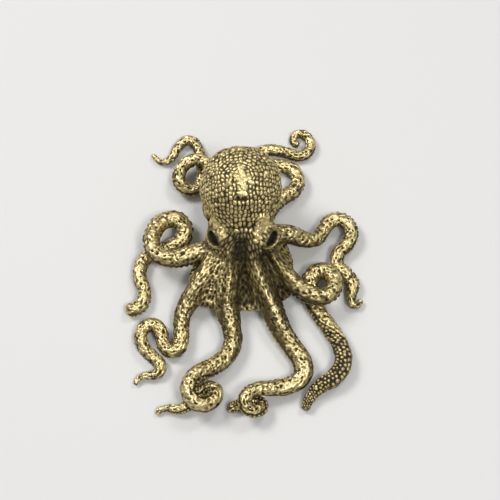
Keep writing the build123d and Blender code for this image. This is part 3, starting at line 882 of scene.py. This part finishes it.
def body_skin(mesh, rings):
    """Relief and tone of the head, the webs and the mantle, moved into the mesh."""
    points = corners(mesh)
    normals = corner_normals(mesh)
    surface = surface_of(mesh)
    up_mantle = mantle_share(points)
    mantle_relief, mantle_tone, crown_relief, crown_tone = np.zeros((4, len(points)))
    pick = np.flatnonzero(up_mantle > 0)
    mantle_relief[pick], mantle_tone[pick] = mantle_pebbles(points[pick], normals[pick], surface)
    pick = np.flatnonzero(up_mantle < 1)
    flow = laid(unit(points - FLOW_START), normals)
    crown_relief[pick], crown_tone[pick] = crown_net(points[pick], flow[pick])

    # arm stubs have the arm's own skin at the joint
    which = nearest_rings(points, rings)
    for a, name in enumerate(ARMS):
        pick = np.flatnonzero((which[:, 0] == a) & (up_mantle < 1))
        if len(pick):
            relief, tone, taken = stub_skin(name, rings[name], which[pick, 1], points[pick])
            crown_relief[pick] += (relief - crown_relief[pick]) * taken
            crown_tone[pick] += (tone - crown_tone[pick]) * taken

    # crests are smoother and rubbed bright; the deep folds between them get painted shade
    crest = reach_of(points, surface, drawn(*(line for line, push in CRESTS))) ** 2
    crown_relief += (0.06 - 0.35 * crown_relief) * crest
    crown_tone += (0.78 + 0.75 * (crown_tone - 0.6) - crown_tone) * crest
    fold_shade = reach_of(points, surface, drawn(*(line for line, push in FOLDS[:DEEP_FOLDS])))
    crown_tone *= 1 - 0.55 * smoothstep(0.1, 0.7, fold_shade) * (1 - crest)
    string = reach_of(points, surface, drawn(*STRINGS)) * (1 - crest)
    crown_relief += 0.20 * string
    crown_tone += 0.30 * string
    relief = crown_relief * (1 - up_mantle) + mantle_relief * up_mantle
    tone = crown_tone * (1 - up_mantle) + mantle_tone * up_mantle

    # hollows hold the dark patina
    wide = relaxed(points, corner_pairs(mesh), HOLLOW_ROUNDS)
    hollow = ((wide - points) * normals).sum(1)
    tone *= 1 - 0.6 * smoothstep(0.05, 0.45, hollow)
    # painted shade between the head and the webs
    tone *= 1 - 0.40 * reach_of(points, surface, SHADE)

    lumps = ripple(points, 0.55)
    for places, lift, shine, keep in MARKS:
        field = smoothstep(0.0, 0.75, reach_of(points, surface, places))
        relief += (lift + 0.24 * lumps * (lift > 0) * (1 - keep) - relief * (1 - keep)) * field
        tone += (shine + 0.45 * lumps - tone) * field * (1 - 0.6 * keep)
    moved = points + normals * relief[:, None]
    for side in (-1, 1):
        press_eye(side, points, normals, moved, tone)
    moved[:, 2] = np.maximum(moved[:, 2], FLOOR_GAP)
    set_corners(mesh, moved)
    write_tone(mesh, tone)
    return mesh


def split_body(mesh):
    """The body's skin parted at the mantle's seat, both sides closed: mantle and crown."""
    normals = corner_normals(mesh)
    lay = mesh.attributes.new("lay", "FLOAT_VECTOR", "POINT")
    lay.data.foreach_set("vector", normals.ravel())
    egg = surface_of(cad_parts["mantle"].data)
    seat = Vector(SEAT * MM)
    lean = Vector(LEAN)
    on_mantle = []
    for face in mesh.polygons:
        rise = (face.center - seat).dot(lean) / MM
        spot, out, _, gap = egg.find_nearest(face.center)
        close = gap < SEAM * MM or (face.center - spot).dot(out) < 0
        on_mantle.append(rise > CROWN_END or (rise > 0 and close))

    # each side is one patch: islands go to the other side
    on_mantle = np.array(on_mantle)
    first, second = face_pairs(mesh)
    for side in (True, False):
        own = on_mantle == side
        same = own[first] & own[second]
        label = linked(len(own), first[same], second[same])
        on_mantle[own & (label != np.bincount(label[own]).argmax())] = not side

    # each part is closed by a wall that runs inward to the seat, and keeps the skin's shading
    pieces = []
    for name, side in (("mantle_skin", True), ("crown_skin", False)):
        shape = opened(mesh)
        drop = [shape.faces[i] for i in np.flatnonzero(on_mantle != side)]
        bmesh.ops.delete(shape, geom=drop, context="FACES")
        grown = bmesh.ops.extrude_edge_only(shape, edges=rim(shape))["geom"]
        for corner in grown:
            if isinstance(corner, bmesh.types.BMVert):
                corner.co = seat + (corner.co - seat) * SEAT_WALL
        bmesh.ops.holes_fill(shape, edges=rim(shape), sides=0)
        part = poured(shape, bpy.data.meshes.new(name))
        lay = np.empty(len(part.vertices) * 3)
        part.attributes["lay"].data.foreach_get("vector", lay)
        part.normals_split_custom_set_from_vertices(unit(lay.reshape(-1, 3)).tolist())
        part.attributes.remove(part.attributes["lay"])
        pieces.append(placed(name, part))
    return pieces


def eye_inlay(side):
    """The black almond at the bottom of an eye."""
    look, slant, across, turret = eye_frame(side)
    middle = turret + look * (TURRET_RADIUS - EYE_DEPTH)
    turn = Matrix((slant, across, look)).transposed().to_4x4()
    shape = bmesh.new()
    bmesh.ops.create_uvsphere(shape, u_segments=48, v_segments=24, radius=1)
    size = (EYE_LENGTH / 2, EYE_WIDTH / 2, INLAY_HEIGHT)
    bmesh.ops.scale(shape, vec=size, verts=shape.verts)
    bmesh.ops.transform(shape, matrix=Matrix.Translation(middle) @ turn, verts=shape.verts)
    bmesh.ops.scale(shape, vec=(MM, MM, MM), verts=shape.verts)
    bmesh.ops.recalc_face_normals(shape, faces=shape.faces)
    mesh = poured(shape, bpy.data.meshes.new("eye_inlay"))
    return placed("eye_black_" + ("left" if side < 0 else "right"), mesh)


# ---- finishes ----

def new_material(name):
    """A material, its tree of nodes and its shader."""
    material = bpy.data.materials.new(name)
    material.use_nodes = True
    return material, material.node_tree, material.node_tree.nodes["Principled BSDF"]


def feed(tree, node, inputs):
    """Gives each input of a node its value, or a link if that is another node's output."""
    for socket, value in inputs.items():
        if isinstance(value, bpy.types.NodeSocket):
            tree.links.new(value, node.inputs[socket])
        else:
            node.inputs[socket].default_value = value


def added(tree, kind, inputs):
    """A new node that is fed so."""
    made = tree.nodes.new(kind)
    feed(tree, made, inputs)
    return made


def ramp(tree, source, stops):
    """Colours along a value, from stops with a position and a colour."""
    made = added(tree, "ShaderNodeValToRGB", {"Fac": source})
    elements = made.color_ramp.elements
    for k in (0, -1):
        elements[k].position = stops[k][0]
        elements[k].color = (*stops[k][1], 1)
    for position, colour in stops[1:-1]:
        elements.new(position).color = (*colour, 1)
    return made.outputs["Color"]


def antique_brass():
    """Cast brass: dark patina in the hollows, rubbed bare on the crests, darker under the painted
    shade in the tone.
    """
    material, tree, shader = new_material("antique_brass")
    tone = added(tree, "ShaderNodeAttribute", {})
    tone.attribute_name = "tone"
    place = added(tree, "ShaderNodeTexCoord", {}).outputs["Object"]
    stain = added(tree, "ShaderNodeTexNoise", {"Vector": place, "Scale": 900, "Detail": 5})
    shifted = added(tree, "ShaderNodeMath", {0: stain.outputs["Fac"], 1: 0.5, 2: -0.25})
    shifted.operation = "MULTIPLY_ADD"
    total = added(tree, "ShaderNodeMath", {0: tone.outputs["Fac"], 1: shifted.outputs[0]})
    total.operation = "ADD"
    total.use_clamp = True
    bare = total.outputs[0]
    colour = ramp(tree, bare, ((0.08, (0.020, 0.013, 0.005)), (0.42, (0.20, 0.156, 0.066)),
                               (0.85, (0.80, 0.66, 0.325))))
    metal = added(tree, "ShaderNodeMapRange",
                  {"Value": bare, "From Max": 0.5, "To Min": 0.35, "To Max": 1.0})
    rough = added(tree, "ShaderNodeMapRange", {"Value": bare, "To Min": 0.62, "To Max": 0.38})
    grain = added(tree, "ShaderNodeTexNoise", {"Vector": place, "Scale": 3500, "Detail": 3})
    bump = added(tree, "ShaderNodeBump",
                 {"Height": grain.outputs["Fac"], "Strength": 0.25, "Distance": 0.00006})
    feed(tree, shader, {"Base Color": colour, "Metallic": metal.outputs["Result"],
                        "Roughness": rough.outputs["Result"], "Normal": bump.outputs["Normal"]})
    return material


def eye_black():
    """Glossy black enamel with faint clouds."""
    material, tree, shader = new_material("eye_black")
    place = added(tree, "ShaderNodeTexCoord", {}).outputs["Object"]
    cloud = added(tree, "ShaderNodeTexNoise", {"Vector": place, "Scale": 1800})
    colour = ramp(tree, cloud.outputs["Fac"], ((0.0, (0.004, 0.003, 0.003)),
                                               (1.0, (0.022, 0.016, 0.013))))
    feed(tree, shader, {"Base Color": colour, "Roughness": 0.32})
    return material


def pale_floor():
    """Matt, almost white."""
    material, tree, shader = new_material("pale_floor")
    feed(tree, shader, {"Base Color": (0.74, 0.73, 0.71, 1), "Roughness": 0.8})
    return material


# ---- surroundings ----

def studio():
    """Soft light all round, brighter from above."""
    world = bpy.data.worlds.new("studio")
    world.use_nodes = True
    tree = world.node_tree
    place = added(tree, "ShaderNodeTexCoord", {}).outputs["Generated"]
    split = added(tree, "ShaderNodeSeparateXYZ", {"Vector": place})
    colour = ramp(tree, split.outputs["Z"], ((0.0, (0.10, 0.10, 0.11)), (0.9, (0.40, 0.40, 0.41))))
    feed(tree, tree.nodes["Background"], {"Color": colour, "Strength": 1.0})
    return world


def lamp(name, place, size, watts):
    """A round lamp that shines on the figurine."""
    light = bpy.data.lights.new(name, "AREA")
    light.shape = "DISK"
    light.size = size
    light.energy = watts
    made = placed(name, light)
    made.location = place
    made.rotation_euler = (-Vector(place)).to_track_quat("-Z", "Y").to_euler()


# ---- the figurine ----

brass = antique_brass()
rings = {name: arm_rings(name) for name in ARMS}
body = body_skin(folded(plain_body()), rings)
mantle, crown = split_body(body)
pieces = [(mantle, "mantle", brass, "antique_brass"), (crown, "arm_crown", brass, "antique_brass")]
for name in ARMS:
    pieces.append((arm_piece(name, rings[name]), name, brass, "antique_brass"))
black = eye_black()
for side, node in ((-1, "eye_inlay_left"), (1, "eye_inlay_right")):
    pieces.append((eye_inlay(side), node, black, "eye_black"))
for piece, node, finish, slot in pieces:
    piece.data.materials.clear()
    piece.data.materials.append(finish)
    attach(piece, "root")
    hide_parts(node)

# ---- floor, light and camera ----

shape = bmesh.new()
bmesh.ops.create_grid(shape, x_segments=1, y_segments=1, size=FLOOR_REACH)
floor = placed("floor", poured(shape, bpy.data.meshes.new("floor")))
floor.data.materials.append(pale_floor())

scene.world = studio()
for name, (place, size, watts) in LAMPS.items():
    lamp(name, place, size, watts)

camera_data = bpy.data.cameras.new("camera")
camera_data.sensor_width = FILM
camera_data.lens = FILM * FOCUS / PICTURE
camera_data.clip_start = 0.01
camera = placed("camera", camera_data)
camera.location = CAMERA * MM
camera.rotation_euler = (CAMERA_TURN, 0, 0)
scene.camera = camera
scene.view_settings.view_transform = "Standard"
